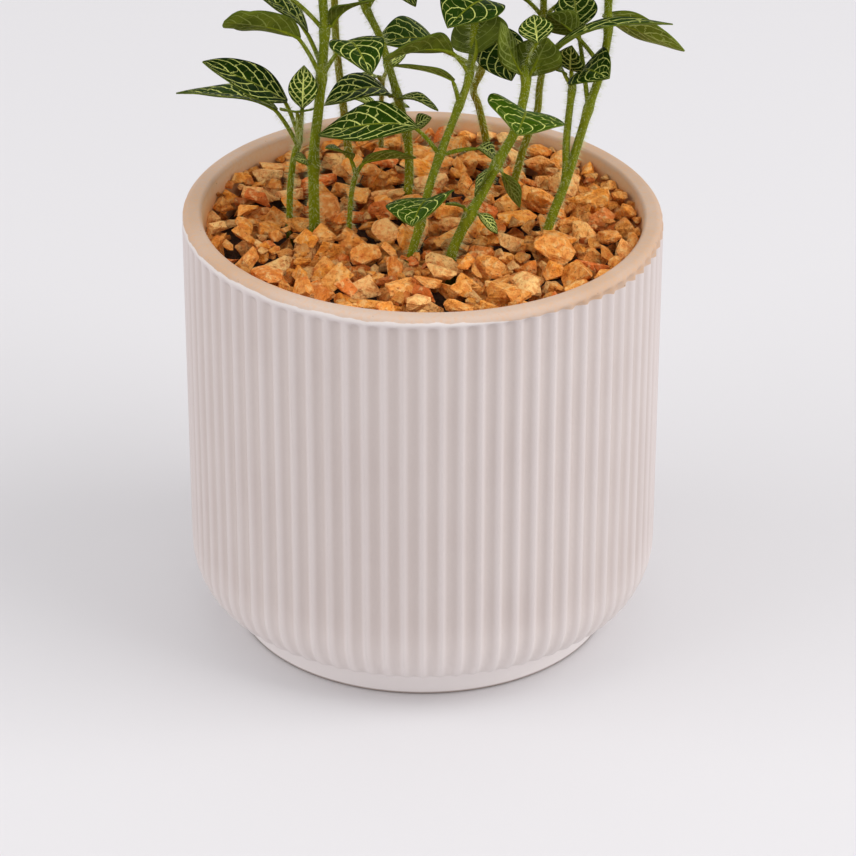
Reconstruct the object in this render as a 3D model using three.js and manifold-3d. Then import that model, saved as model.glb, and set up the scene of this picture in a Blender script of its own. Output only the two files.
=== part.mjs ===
// A nerve plant in a ribbed stoneware pot topped with crushed stone.
// Millimetres, +Z up. The origin is the middle of the pot's foot, on the surface it stands on.
// The front of the pot faces -Y. Directions are degrees anticlockwise from +X.

import * as THREE from 'three';
import { mergeVertices } from 'three/addons/utils/BufferGeometryUtils.js';
import Module from 'manifold-3d';

const wasm = await Module();
wasm.setup();

// Pot
const potHeight = 131.2;
const rimRadius = 70;
const wallFootRadius = 69.3;
const cornerHeight = 24.7;
const cornerFootRadius = 57.6;
const footHeight = 8.4;
const footTopRadius = 56;
const footRadius = 55.4;
const ribCount = 78;
const ribDepth = 1.2;
const ribTop = 129;
const ribFade = 0.6;
const facetsPerRib = 2;
const cornerSteps = 2;
const footStep = 0.2;
const lipRadius = 64.2;
const mouthRadius = 65;
const lipRound = 2.2;
const mouthRound = 0.8;
const lipDepth = 6;
const boreRadius = 63.5;
const boreDraft = 1.5;
const boreFootRadius = 55;
const boreCorner = 12;
const boreFloor = 9;
const boreSides = 48;

// Filling
const fit = 0.3;
const wallGap = 0.6;
const bedGap = 0.7;
const cornerGap = 2.2;
const soilTop = 116;
const soilSides = 36;
const holeDepth = 12;
const holeClearance = 0.75;
const bedTop = 122.4;
const stoneCount = 88;
const stoneSize = 10.8;
const stoneSizes = [0.8, 1.2];
const stoneShape = [1, 0.78, 0.6];
const stoneSpread = 60;
const stoneRise = [0.4, 2];
const stoneTilt = 0.35;
const flatCorner = 0.62;
const lowCorner = 0.7;
const turnJog = 0.05;
const stoneSeed = 7;
const goldenAngle = Math.PI * (3 - Math.sqrt(5));

// Plants
const stemSides = 6;
const stemStep = 12;
const stemSamples = 120;
const stemClearance = 0.8;
const sleeveDepth = 2;
const straightFoot = 5;
const petioleWidth = 1.3;
const petioleThinning = 0.8;
const petioleArch = 0.1;
const longPetiole = 8;
const bladeThickness = 0.7;
const bladeFold = 0.16;
const edgeWave = 0.35;
const tipWidth = 0.7;
const bladeStations = [0.2, 0.48, 0.8];
const budStations = [0.3, 0.75];
const budLength = 14;

// Shares of the blade's length in a pair of leaves
const pairStalkOut = 0.175;
const pairStalkUp = 0.2;
const pairReach = 0.96;
const pairRise = 0.2;
const pairWidth = 0.5;
const pairBow = 0.1;

// Each node is a list of shoots. A shoot has its diameters at the foot and the top and the
// points that its stem passes. Its leaves are rows of: height on the stem, base of the blade,
// tip, width, the way the upper face looks, and bow. Its pairs are two leaves on opposite sides,
// as rows of: height on the stem, direction of the first leaf, and blade length.
const leafyStems = {
  leafyStem1: [
    {
      thick: [2, 1.8],
      route: [[-39, 6, 124], [-38.5, 6, 137], [-37, 5, 147.5], [-35.5, 4, 151]],
      leaves: [
        [151, [-39, 0, 166], [-63, -2, 179.5], 14, [0, -0.3, 1], 1],
        [150, [-42, 4, 161.5], [-71.5, 12, 163], 13, [0, 0.18, 1], 2.5],
        [151, [-34.5, -5.5, 166.5], [-34, 0, 177.5], 8.5, [0, -1, 0.5], 1],
        [151, [-36, -4, 164.5], [-36, -14, 169.5], 10, [0, 0.48, 0.87], 0],
      ],
      pairs: [],
    },
  ],
  leafyStem2: [
    {
      thick: [3.4, 2.2],
      route: [
        [-31.5, -0.5, 124], [-31.5, 0, 149], [-30, 0, 163.5], [-29, 0, 174.5],
        [-28, 1, 189], [-28.5, 2, 197], [-29, 3, 215], [-31, 3, 242],
      ],
      leaves: [
        [146, [-33.5, -2.5, 148], [-37, -6, 150.5], 5, [0, -0.6, 1], 0.5],
        [173, [-35, -3, 187.5], [-56, -14, 197.5], 14, [0, 1, 1], 1.5],
        [176, [-33, 4, 186], [-51.5, 8, 198.5], 13, [0, 0.1, 1], 2],
        [187, [-38.5, -2, 200.5], [-61.5, -8, 203], 14, [0, 0.2, 1], 2],
        [174, [-22, -6, 187.5], [-14.5, -28, 187.5], 15.5, [0, 0, 1], 3],
        [187, [-26, 0, 190], [-14, -4, 199.5], 13, [-0.2, 0.4, 1], 2],
      ],
      pairs: [[205, 285, 30], [224, 15, 26], [241, 105, 14]],
    },
  ],
  leafyStem3: [
    {
      thick: [1.6, 1.4],
      route: [[-21.5, -1, 124], [-20.5, 0, 138], [-19, 0, 144]],
      leaves: [
        [143, [-17.5, -1, 147], [-2, -4, 150], 9, [0, 0.9, 1], 1],
        [143, [-20.5, -2, 148.5], [-28, -8, 155], 8, [0, 0.1, 1], 1],
      ],
      pairs: [],
    },
  ],
  leafyStem4: [
    {
      thick: [2.6, 1.8],
      route: [
        [-22, 48, 124], [-22.5, 47, 130], [-23.5, 44, 142.5], [-25.5, 40, 166.5],
        [-26.5, 41, 198], [-29, 43, 218], [-30, 44, 232],
      ],
      leaves: [],
      pairs: [[190, 20, 29], [212, 65, 24], [231, 20, 13]],
    },
  ],
  leafyStem5: [
    {
      thick: [2.8, 1.8],
      route: [
        [-4.5, 22, 124], [-4, 22, 133], [-4.5, 22, 144], [-7, 21, 156.5], [-10, 20, 168.5],
        [-12.5, 20, 177.5], [-16.5, 20, 186.5], [-20, 20, 196], [-22, 21, 212], [-21.5, 23, 228],
      ],
      leaves: [
        [158, [-9, 19, 158.5], [-28.5, 6, 162], 14, [0.1, -0.1, 1], 4.5],
        [158, [-7.5, 18, 158.5], [4.5, 14, 156.5], 9, [0, 0.25, 1], 1.5],
        [146, [-2, 20, 148.5], [2.5, 20, 151.5], 6, [0, -0.3, 1], 0.5],
        [186, [-11, 18, 195.5], [-2, 12, 190.5], 12, [0, 0, 1], 2],
      ],
      pairs: [[200, 160, 28], [215, 30, 23], [227, 160, 12]],
    },
  ],
  leafyStem6: [
    {
      thick: [2.7, 1.8],
      route: [
        [-3.5, -17, 124], [-1, -15, 133], [2, -12, 145], [5, -9, 153.5], [10, -6, 166.5],
        [13, -5, 175], [14.5, -2, 186], [15, 0, 197], [14, -1, 213], [15, -3, 230],
      ],
      leaves: [
        [153, [-1.5, -11, 163], [-30, -7, 158.5], 15, [0, -0.35, 1], 3],
        [134, [3, -18, 143.5], [-3, -37, 144.5], 21, [-0.4, -0.2, 1], 2.5],
        [153, [15.5, -6, 154], [21.5, -5, 149], 7, [0, -0.2, 1], 1.5],
        [168, [9, -7, 176], [-9, -10, 182], 8, [0, 0.6, 1], 1],
        [176, [8.5, -8, 185.5], [-11, -20, 188.5], 17, [0, 0.9, 0.8], 2],
        [176, [15.5, -6, 184], [13.5, 2, 194.5], 20, [0.35, 1, 0.2], 1],
        [190, [19, 2, 196.5], [7, -15, 196], 20, [0.2, 0, 1], 3],
        [188, [20, 6, 187.5], [25.5, -1, 173], 15, [-0.5, -0.5, 1], 1],
      ],
      pairs: [[206, 80, 28], [219, 170, 22], [229, 80, 12]],
    },
  ],
  leafyStem7: [
    {
      thick: [3.3, 2.6],
      route: [
        [8, -17, 124], [10, -16.5, 130], [13.5, -15, 137], [17.5, -12, 143.5], [21.5, -9, 151],
        [26.5, -7, 160], [28.5, -6, 168], [29.5, -5, 174], [29, -4, 181],
      ],
      leaves: [
        [162, [29.5, -11, 168], [26.5, -36, 172.5], 23, [0.3, -0.1, 1], 2],
        [151, [23, -6, 146], [28, -8, 136], 6, [0.6, 0.8, 0.2], 0.5],
        [151, [19.5, -13, 151], [15, -17, 144], 8, [-1, -0.1, 0.3], 0.5],
        [136, [12, -17, 140.5], [6.5, -19, 142.5], 5, [0, 0.3, 1], 0.3],
        [137, [16, -14, 137], [21.5, -16, 131.5], 5, [0.5, -0.4, 1], 0.5],
        [180, [32.5, -12, 190], [31.5, -6, 196], 10, [0, -1, 0.5], 0.5],
        [176, [28, -6, 177.5], [22, -12, 196.5], 8, [-1, 0.5, 0.5], 1],
        [176, [30.5, -5, 176.5], [35.5, -10, 190.5], 14, [0.2, 1, 0.3], 0.5],
        [176, [33.5, -6, 179.5], [71, -6, 193], 12, [0, 0.25, 1], 6],
      ],
      pairs: [],
    },
  ],
  leafyStem8: [
    {
      thick: [2.4, 1.8],
      route: [
        [20, 50, 124], [19.5, 49, 127.5], [16.5, 46, 143.5], [15, 45, 148.5],
        [17.5, 44, 156.5], [18, 46, 175], [17, 48, 195], [15.5, 50, 212],
      ],
      leaves: [[156, [5, 42, 163], [-13.5, 30, 171], 17, [0, -0.3, 1], 3.5]],
      pairs: [[184, 100, 28], [200, 10, 22], [211, 100, 12]],
    },
  ],
  leafyStem9: [
    {
      thick: [2.4, 1.8],
      route: [
        [26, 23, 124], [28, 23, 133.5], [30, 22, 142], [33.5, 21, 153],
        [34, 21, 160], [35, 20, 170], [35, 22, 190], [36, 25, 208], [36, 27, 222],
      ],
      leaves: [],
      pairs: [[182, 170, 28], [203, 75, 25], [221, 160, 14]],
    },
  ],
  leafyStem10: [
    {
      thick: [3, 2],
      route: [
        [35.5, -5, 124], [38, -3, 132], [41, 0, 139], [45.5, 2, 154], [48.5, 3, 165],
        [50.5, 4, 171], [53, 5, 184], [53, 5, 194], [54, 4, 212], [55, 2, 232],
      ],
      leaves: [
        [188, [51.5, 9, 189], [75, 2, 181], 13, [0, 0.9, 0.7], 0.5],
        [163, [44.5, 8, 185.5], [43, 12, 197], 12.5, [0, -1, 0.5], 0.5],
        [175, [44, 5, 184.5], [35.5, 1, 193], 10, [0, 1, 0.3], 1],
      ],
      pairs: [[198, 170, 27], [215, 80, 25], [231, 170, 14]],
    },
    {
      thick: [2.3, 2],
      route: [[41, 0, 139], [41.5, 1, 144], [41.5, 2, 151.5], [42.5, 4, 163], [43.5, 6, 170.5]],
      leaves: [
        [170, [45.5, 2, 174.5], [53, -12, 179], 15, [-0.35, -0.5, 1], 2],
        [168, [41, 4, 172.5], [35.5, 2, 176.5], 8, [0, -0.1, 1], 1],
        [168, [42.5, 2, 175], [42.5, -2, 184.5], 9, [-0.4, -1, 0.3], 0.5],
      ],
      pairs: [],
    },
  ],
  leafyStem11: [
    {
      thick: [1.7, 1.4],
      route: [[-12.5, 54, 124], [-12.5, 53, 138], [-12, 51, 150]],
      leaves: [],
      pairs: [[138, 160, 8], [149, 60, 12]],
    },
  ],
};

const pointOf = ([x, y, z]) => new THREE.Vector3(x, y, z);

// Seeded draw between 0 and 1
function makeDraw(seed) {
  let state = seed;
  return () => {
    state = (state * 1664525 + 1013904223) % 4294967296;
    return state / 4294967296;
  };
}

// A closed geometry as a solid: shared corners are merged and pinched triangles dropped
function toSolid(geometry) {
  const bare = geometry.clone();
  bare.deleteAttribute('normal');
  bare.deleteAttribute('uv');
  const merged = mergeVertices(bare);
  const corners = merged.index.array;
  const kept = [];
  for (let i = 0; i < corners.length; i += 3) {
    const [a, b, c] = [corners[i], corners[i + 1], corners[i + 2]];
    if (a !== b && b !== c && c !== a) kept.push(a, b, c);
  }
  return new wasm.Manifold(new wasm.Mesh({
    numProp: 3,
    vertProperties: new Float32Array(merged.attributes.position.array),
    triVerts: new Uint32Array(kept),
  }));
}

function toMesh(name, solid, material) {
  const { vertProperties, triVerts } = solid.getMesh();
  const geometry = new THREE.BufferGeometry();
  geometry.setAttribute('position', new THREE.BufferAttribute(vertProperties, 3));
  geometry.setIndex(new THREE.BufferAttribute(triVerts, 1));
  geometry.computeVertexNormals();
  const mesh = new THREE.Mesh(geometry, material);
  mesh.name = name;
  return mesh;
}

// A turned solid about Z from a profile of [radius, height] that starts and ends on the axis
function turned(profile, sides) {
  const points = profile.map(([radius, height]) => new THREE.Vector2(radius, height));
  return new THREE.LatheGeometry(points, sides).rotateX(Math.PI / 2);
}

// Share of the full rib depth: grooves fade out at the foot's corner and end below the rim
function ribShare(height) {
  const fromFoot = (height - footHeight) / (cornerHeight - footHeight);
  return height > ribTop ? 0 : THREE.MathUtils.clamp(fromFoot / ribFade, 0, 1);
}

// Pot: a turned body with grooves pressed in between its ribs, and a plain bore
function makePot() {
  const profile = [[0, 0], [footRadius, 0], [footTopRadius, footHeight]];
  const cornerBottom = footHeight + footStep;
  for (let i = 0; i <= cornerSteps; i++) {
    const turn = (i / cornerSteps) * Math.PI / 2;
    profile.push([
      cornerFootRadius + (wallFootRadius - cornerFootRadius) * Math.sin(turn),
      cornerHeight - (cornerHeight - cornerBottom) * Math.cos(turn),
    ]);
  }
  profile.push([rimRadius, ribTop], [rimRadius - lipRound, potHeight], [0, potHeight]);
  const geometry = turned(profile, ribCount * facetsPerRib);
  const place = geometry.attributes.position;
  for (let i = 0; i < place.count; i++) {
    const [x, y, z] = [place.getX(i), place.getY(i), place.getZ(i)];
    const turn = Math.atan2(x, -y);
    const groove = (1 - Math.cos(ribCount * turn)) / 2;
    const radius = Math.hypot(x, y);
    const pressed = radius > footTopRadius ? groove * ribDepth * ribShare(z) : 0;
    const scale = radius > 0 ? (radius - pressed) / radius : 0;
    place.setXY(i, x * scale, y * scale);
  }
  const bore = turned([
    [0, boreFloor], [boreFootRadius, boreFloor], [boreRadius - boreDraft, boreFloor + boreCorner],
    [boreRadius, soilTop], [boreRadius, potHeight - lipDepth], [lipRadius, potHeight - mouthRound],
    [mouthRadius, potHeight], [mouthRadius, potHeight + lipDepth], [0, potHeight + lipDepth],
  ], boreSides);
  return toSolid(geometry).subtract(toSolid(bore));
}

// A smooth line through the route, run straight down to the given depth
function stemCurve(shoot, depth, isBranch) {
  const points = shoot.route.map(pointOf);
  if (!isBranch) {
    const foot = points[0];
    points.unshift(new THREE.Vector3(foot.x, foot.y, foot.z - straightFoot));
    points.unshift(new THREE.Vector3(foot.x, foot.y, depth));
  }
  return new THREE.CatmullRomCurve3(points, false, 'centripetal');
}

// A round stem: a cylinder whose rings are moved onto the curve
function stemSolid(curve, radii, sides, stepLength) {
  const steps = Math.max(3, Math.round(curve.getLength() / stepLength));
  const frames = curve.computeFrenetFrames(steps);
  const geometry = new THREE.CylinderGeometry(1, 1, 1, sides, steps);
  const place = geometry.attributes.position;
  for (let i = 0; i < place.count; i++) {
    const share = place.getY(i) + 0.5;
    const ring = Math.round(share * steps);
    const radius = THREE.MathUtils.lerp(radii[0], radii[1], share);
    const point = curve.getPointAt(share)
      .addScaledVector(frames.normals[ring], place.getX(i) * radius)
      .addScaledVector(frames.binormals[ring], -place.getZ(i) * radius);
    place.setXYZ(i, point.x, point.y, point.z);
  }
  return toSolid(geometry);
}

// The point of a stem's line at a height
function stemPoint(curve, height) {
  const samples = curve.getSpacedPoints(stemSamples);
  return samples.reduce((best, point) => (
    Math.abs(point.z - height) < Math.abs(best.z - height) ? point : best
  ));
}

// Share of the full half width along a blade: widest before the middle, drawn out to a point
const bladeOutline = (share) => Math.sin(Math.PI * share ** 0.85) ** 0.9;
const bladeBow = (share) => Math.sin(Math.PI * share ** 0.8);

// A leaf with its stalk, as one strip: a top sheet, the same sheet below it, and a border
function leafSolid(root, base, tip, width, face, bow) {
  const along = tip.clone().sub(base).normalize();
  const up = face.clone().addScaledVector(along, -face.dot(along)).normalize();
  const side = new THREE.Vector3().crossVectors(up, along);
  const stalk = base.clone().sub(root).normalize();
  const toStalk = new THREE.Quaternion().setFromUnitVectors(along, stalk);
  const halfWay = stalk.clone().add(along).normalize();
  const toHalfWay = new THREE.Quaternion().setFromUnitVectors(along, halfWay);
  const turn = (vector, rotation) => vector.clone().applyQuaternion(rotation);
  const reach = base.distanceTo(root);
  const bend = root.clone().lerp(base, 0.5).add(new THREE.Vector3(0, 0, petioleArch * reach));
  const upStalk = turn(up, toStalk);
  const sideStalk = turn(side, toStalk);
  const rows = [
    { at: root, side: sideStalk, up: upStalk, half: petioleWidth / 2, thick: petioleWidth },
    {
      at: base, side: turn(side, toHalfWay), up: turn(up, toHalfWay),
      half: petioleWidth / 2, thick: petioleThinning * petioleWidth,
    },
  ];
  if (reach > longPetiole) rows.splice(1, 0, { ...rows[0], at: bend });
  const stations = base.distanceTo(tip) > budLength ? bladeStations : budStations;
  stations.forEach((share, k) => {
    const half = (width / 2) * bladeOutline(share);
    const at = base.clone().lerp(tip, share).addScaledVector(up, bow * bladeBow(share));
    const lift = bladeFold * half + (k % 2 ? edgeWave : -edgeWave);
    rows.push({ at, side, up, half, thick: bladeThickness, lift });
  });
  rows.push({ at: tip, side, up, half: tipWidth / 2, thick: bladeThickness });

  const sheet = new THREE.PlaneGeometry(1, 1, 2, rows.length - 1);
  const columns = 3;
  const count = columns * rows.length;
  const corners = [];
  for (const level of [0.5, -0.5]) {
    for (const row of rows) {
      for (const across of [-1, 0, 1]) {
        const rise = level * row.thick + Math.abs(across) * (row.lift ?? 0);
        const corner = row.at.clone()
          .addScaledVector(row.side, across * row.half)
          .addScaledVector(row.up, rise);
        corners.push(corner.x, corner.y, corner.z);
      }
    }
  }
  const topFaces = Array.from(sheet.index.array);
  const bottomFaces = topFaces.map((corner) => corner + count).reverse();
  const last = count - columns;
  const border = [0, 1, 2];
  for (let r = 1; r < rows.length; r++) border.push(r * columns + 2);
  border.push(last + 1, last);
  for (let r = rows.length - 2; r > 0; r--) border.push(r * columns);
  const wallFaces = border.flatMap((a, i) => {
    const b = border[(i + 1) % border.length];
    return [a, b, b + count, a, b + count, a + count];
  });
  const geometry = new THREE.BufferGeometry();
  geometry.setAttribute('position', new THREE.Float32BufferAttribute(corners, 3));
  geometry.setIndex([...topFaces, ...bottomFaces, ...wallFaces]);
  return toSolid(geometry);
}

// Rows for the two opposite leaves of a pair
function pairLeaves(curve, [height, heading, length]) {
  const root = stemPoint(curve, height);
  return [heading, heading + 180].map((degrees) => {
    const turn = THREE.MathUtils.degToRad(degrees);
    const out = new THREE.Vector3(Math.cos(turn), Math.sin(turn), 0);
    const up = new THREE.Vector3(0, 0, 1);
    const step = (from, outShare, upShare) => from.clone()
      .addScaledVector(out, outShare * length)
      .addScaledVector(up, upShare * length);
    const base = step(root, pairStalkOut, pairStalkUp);
    const tip = step(base, pairReach, pairRise);
    return leafSolid(root, base, tip, pairWidth * length, up, pairBow * length);
  });
}

// Leafy stem: the first shoot is rooted in the soil and any other branches from it
function makeLeafyStem(shoots) {
  const solids = shoots.flatMap((shoot, k) => {
    const curve = stemCurve(shoot, soilTop - holeDepth + fit, k > 0);
    const radii = shoot.thick.map((diameter) => diameter / 2);
    const leaves = shoot.leaves.map(([height, base, tip, width, face, bow]) => leafSolid(
      stemPoint(curve, height), pointOf(base), pointOf(tip), width, pointOf(face), bow,
    ));
    const pairs = shoot.pairs.flatMap((pair) => pairLeaves(curve, pair));
    return [stemSolid(curve, radii, stemSides, stemStep), ...leaves, ...pairs];
  });
  return solids.reduce((joined, solid) => joined.add(solid));
}

// Soil: fills the pot below the stones, with a plain hole for each stem
function makeSoil() {
  const body = turned([
    [0, boreFloor + fit], [boreFootRadius - cornerGap, boreFloor + fit],
    [boreRadius - boreDraft - wallGap, boreFloor + boreCorner + fit],
    [boreRadius - wallGap, soilTop], [0, soilTop],
  ], soilSides);
  return Object.values(leafyStems).reduce((soil, [shoot]) => {
    const [x, y] = shoot.route[0];
    const radius = shoot.thick[0] / 2 + holeClearance;
    const hole = new THREE.CylinderGeometry(radius, radius, 2 * holeDepth, stemSides)
      .rotateX(Math.PI / 2).translate(x, y, soilTop);
    return soil.subtract(toSolid(hole));
  }, toSolid(body));
}

// Crushed stone: a bed with angular stones set into it, largest faces down, trimmed at the wall
function makeGravel() {
  const draw = makeDraw(stoneSeed);
  const between = (low, high) => low + (high - low) * draw();
  const bed = turned([
    [0, soilTop + fit], [boreRadius - bedGap, soilTop + fit], [boreRadius - bedGap, bedTop], [0, bedTop],
  ], boreSides);
  let stones = toSolid(bed);
  for (let k = 0; k < stoneCount; k++) {
    const radius = stoneSpread * Math.sqrt((k + 0.5) / stoneCount);
    const turn = k * goldenAngle + between(-turnJog, turnJog);
    const size = stoneSize * between(...stoneSizes);
    const stone = new THREE.BoxGeometry(...stoneShape.map((share) => share * size));
    const place = stone.attributes.position;
    const jogs = Array.from({ length: 8 }, () => [
      between(flatCorner, 1), between(flatCorner, 1), between(lowCorner, 1),
    ]);
    for (let i = 0; i < place.count; i++) {
      const [x, y, z] = [place.getX(i), place.getY(i), place.getZ(i)];
      const [jogX, jogY, jogZ] = jogs[(x > 0 ? 1 : 0) + (y > 0 ? 2 : 0) + (z > 0 ? 4 : 0)];
      place.setXYZ(i, x * jogX, y * jogY, z * jogZ);
    }
    stone.rotateX(between(-stoneTilt, stoneTilt)).rotateY(between(-stoneTilt, stoneTilt));
    stone.rotateZ(between(0, 2 * Math.PI));
    stone.translate(radius * Math.cos(turn), radius * Math.sin(turn), bedTop + between(...stoneRise));
    stones = stones.add(toSolid(stone));
  }
  const wall = turned([
    [0, soilTop], [boreRadius - wallGap, soilTop], [boreRadius - wallGap, potHeight], [0, potHeight],
  ], boreSides);
  stones = stones.intersect(toSolid(wall));
  for (const [shoot] of Object.values(leafyStems)) {
    const curve = stemCurve({ route: shoot.route.slice(0, 4) }, soilTop - sleeveDepth, false);
    const sleeve = shoot.thick[0] / 2 + stemClearance;
    stones = stones.subtract(stemSolid(curve, [sleeve, sleeve], stemSides, stemStep / 2));
  }
  return stones;
}

const finish = (color, roughness) => new THREE.MeshStandardMaterial({ color, roughness, metalness: 0 });
const glazedClay = finish('#cfc4bb', 0.55);
const darkSoil = finish('#35281d', 0.95);
const ochreStone = finish('#c98443', 0.85);
const leafGreen = finish('#3f7a2b', 0.5);

const plant = new THREE.Group();
plant.name = 'pottedNervePlant';
plant.add(toMesh('pot', makePot(), glazedClay));
plant.add(toMesh('soil', makeSoil(), darkSoil));
plant.add(toMesh('gravel', makeGravel(), ochreStone));
for (const [name, shoots] of Object.entries(leafyStems)) {
  plant.add(toMesh(name, makeLeafyStem(shoots), leafGreen));
}

export default plant;
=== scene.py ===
import random
from math import atan2, ceil, copysign, cos, exp, hypot, pi, radians, sin, sqrt

import bmesh
import bpy
from mathutils import Matrix, Vector


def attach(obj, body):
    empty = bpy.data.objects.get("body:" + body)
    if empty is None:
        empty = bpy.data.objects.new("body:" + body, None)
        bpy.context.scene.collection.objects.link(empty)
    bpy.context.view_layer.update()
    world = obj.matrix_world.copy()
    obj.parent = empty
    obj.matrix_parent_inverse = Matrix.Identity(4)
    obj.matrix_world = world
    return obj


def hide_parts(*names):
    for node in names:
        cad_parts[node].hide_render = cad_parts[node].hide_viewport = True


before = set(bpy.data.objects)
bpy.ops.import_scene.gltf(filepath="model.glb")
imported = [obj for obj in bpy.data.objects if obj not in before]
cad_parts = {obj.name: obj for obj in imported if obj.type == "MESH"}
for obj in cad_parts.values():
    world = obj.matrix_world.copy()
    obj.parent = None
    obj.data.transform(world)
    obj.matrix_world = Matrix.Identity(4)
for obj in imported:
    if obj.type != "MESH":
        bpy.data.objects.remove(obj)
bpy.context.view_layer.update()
mm = 0.001
zUp = Vector((0, 0, 1))


def newObject(name, data):
    thing = bpy.data.objects.new(name, data)
    bpy.context.collection.objects.link(thing)
    return thing


# Camera: in front and above, on a long lens
cameraView = {
    "target": (0, 0, 0.060),
    "pitch": 28.85,
    "distance": 1.489,
    "lens": 210.3,
    "shiftX": 0.0061,
    "shiftY": -0.0041,
    "farClip": 20,
}


def makeCamera(view):
    data = bpy.data.cameras.new("camera")
    data.lens = view["lens"]
    data.shift_x = view["shiftX"]
    data.shift_y = view["shiftY"]
    data.clip_end = view["farClip"]
    camera = newObject("camera", data)
    pitch = radians(view["pitch"])
    back = Vector((0, -cos(pitch), sin(pitch)))
    camera.location = Vector(view["target"]) + back * view["distance"]
    camera.rotation_euler = (pi / 2 - pitch, 0, 0)
    bpy.context.scene.camera = camera


makeCamera(cameraView)
print("camera placed")


# Small tools for shader trees: each takes numbers and sockets, and gives back a socket
def plug(socket, value):
    if isinstance(value, bpy.types.NodeSocket):
        socket.id_data.links.new(value, socket)
    else:
        socket.default_value = value


def nodeBy(kind, *values):
    return next(v for v in values if isinstance(v, bpy.types.NodeSocket)).id_data.nodes.new(kind)


def calc(operation, *values):
    node = nodeBy("ShaderNodeMath", *values)
    node.operation = operation
    for socket, value in zip(node.inputs, values):
        plug(socket, value)
    return node.outputs[0]


def plus(first, second):
    return calc("ADD", first, second)


def minus(first, second):
    return calc("SUBTRACT", first, second)


def times(first, second):
    return calc("MULTIPLY", first, second)


def ease(value, low, high, start=0, end=1):
    node = nodeBy("ShaderNodeMapRange", value, low, high)
    node.interpolation_type = "SMOOTHSTEP"
    for name, entry in (
        ("Value", value), ("From Min", low), ("From Max", high), ("To Min", start), ("To Max", end),
    ):
        plug(node.inputs[name], entry)
    return node.outputs["Result"]


def blendColour(share, first, second, mode="MIX"):
    node = nodeBy("ShaderNodeMix", share, first, second)
    node.data_type = "RGBA"
    node.blend_type = mode
    plug(node.inputs["Factor"], share)
    plug([s for s in node.inputs if s.name == "A" and s.type == "RGBA"][0], first)
    plug([s for s in node.inputs if s.name == "B" and s.type == "RGBA"][0], second)
    return [s for s in node.outputs if s.type == "RGBA"][0]


# Coats of colour, each laid over the last by its share: rows of (share, name of the colour)
def layered(finish, colour, *coats):
    for share, name in coats:
        colour = blendColour(share, colour, finish[name])
    return colour


def noiseAt(vector, scale, detail=3):
    node = nodeBy("ShaderNodeTexNoise", vector)
    plug(node.inputs["Vector"], vector)
    plug(node.inputs["Scale"], scale)
    plug(node.inputs["Detail"], detail)
    return node.outputs["Fac"]


def objectPlace(tree):
    return tree.nodes.new("ShaderNodeTexCoord").outputs["Object"]


def stretched(vector, scale):
    node = nodeBy("ShaderNodeMapping", vector)
    plug(node.inputs["Vector"], vector)
    node.inputs["Scale"].default_value = scale
    return node.outputs["Vector"]


def parted(vector):
    node = nodeBy("ShaderNodeSeparateXYZ", vector)
    plug(node.inputs[0], vector)
    return node.outputs


def tintOf(tree, name):
    node = tree.nodes.new("ShaderNodeAttribute")
    node.attribute_name = name
    split = tree.nodes.new("ShaderNodeSeparateColor")
    plug(split.inputs[0], node.outputs["Color"])
    return split.outputs[:3]


# The shader's own sockets, with a relief that stands up by a depth in metres
def finishSurface(surface, colour, roughness, specular, relief, strength, depth):
    plug(surface.inputs["Base Color"], colour)
    plug(surface.inputs["Roughness"], roughness)
    surface.inputs["Specular IOR Level"].default_value = specular
    bump = nodeBy("ShaderNodeBump", relief)
    bump.inputs["Strength"].default_value = strength
    bump.inputs["Distance"].default_value = depth
    plug(bump.inputs["Height"], relief)
    plug(surface.inputs["Normal"], bump.outputs["Normal"])


def newMaterial(name):
    material = bpy.data.materials.new(name)
    material.use_nodes = True
    tree = material.node_tree
    return material, tree, tree.nodes["Principled BSDF"]


def newGroup(name, inputs, outputs):
    group = bpy.data.node_groups.new(name, "ShaderNodeTree")
    for way, sockets in (("INPUT", inputs), ("OUTPUT", outputs)):
        for socket in sockets:
            kind = "NodeSocketVector" if socket == "place" else "NodeSocketFloat"
            group.interface.new_socket(name=socket, in_out=way, socket_type=kind)
    return group, group.nodes.new("NodeGroupInput").outputs, group.nodes.new("NodeGroupOutput").inputs


def useGroup(tree, group, **values):
    node = tree.nodes.new("ShaderNodeGroup")
    node.node_tree = group
    for name, value in values.items():
        plug(node.inputs[name], value)
    return node.outputs


# Mottle: soft patches and fine grain, for clay, stone, soil and green skin alike. A pair of scales
# says how fine the patches and the grain are.
def makeMottleGroup():
    group, given, result = newGroup("mottle", ["place", "patchScale", "grainScale"], ["patches", "grain"])
    patches = noiseAt(given["place"], given["patchScale"], 4)
    plug(result["patches"], ease(patches, 0.32, 0.68))
    grain = noiseAt(given["place"], given["grainScale"], 6)
    plug(result["grain"], ease(grain, 0.25, 0.75))
    return group


# Vein net of a leaf: a midrib, side veins that arch towards the tip, and a ladder of cross veins
# between them. Lengths are shares of the blade's length and half width.
veinPlan = {
    "sideVeins": 5,
    "sideOffset": 0.4,
    "lean": 0.25,
    "arch": 0.22,
    "archPower": 2.6,
    "slender": 4,
    "midribHalf": 0.088,
    "sideHalf": 0.082,
    "ladder": 8,
    "ladderSlant": 0.14,
    "ladderBend": 1.6,
    "ladderHalf": 0.09,
    "ladderShare": (0.5, 0.4),
    "ladderFade": (0.8, 0.92),
    "rimFade": (0.93, 0.97),
    "wander": 0.14,
    "sizeWidth": 7,
    "leastSize": 0.36,
}


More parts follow.
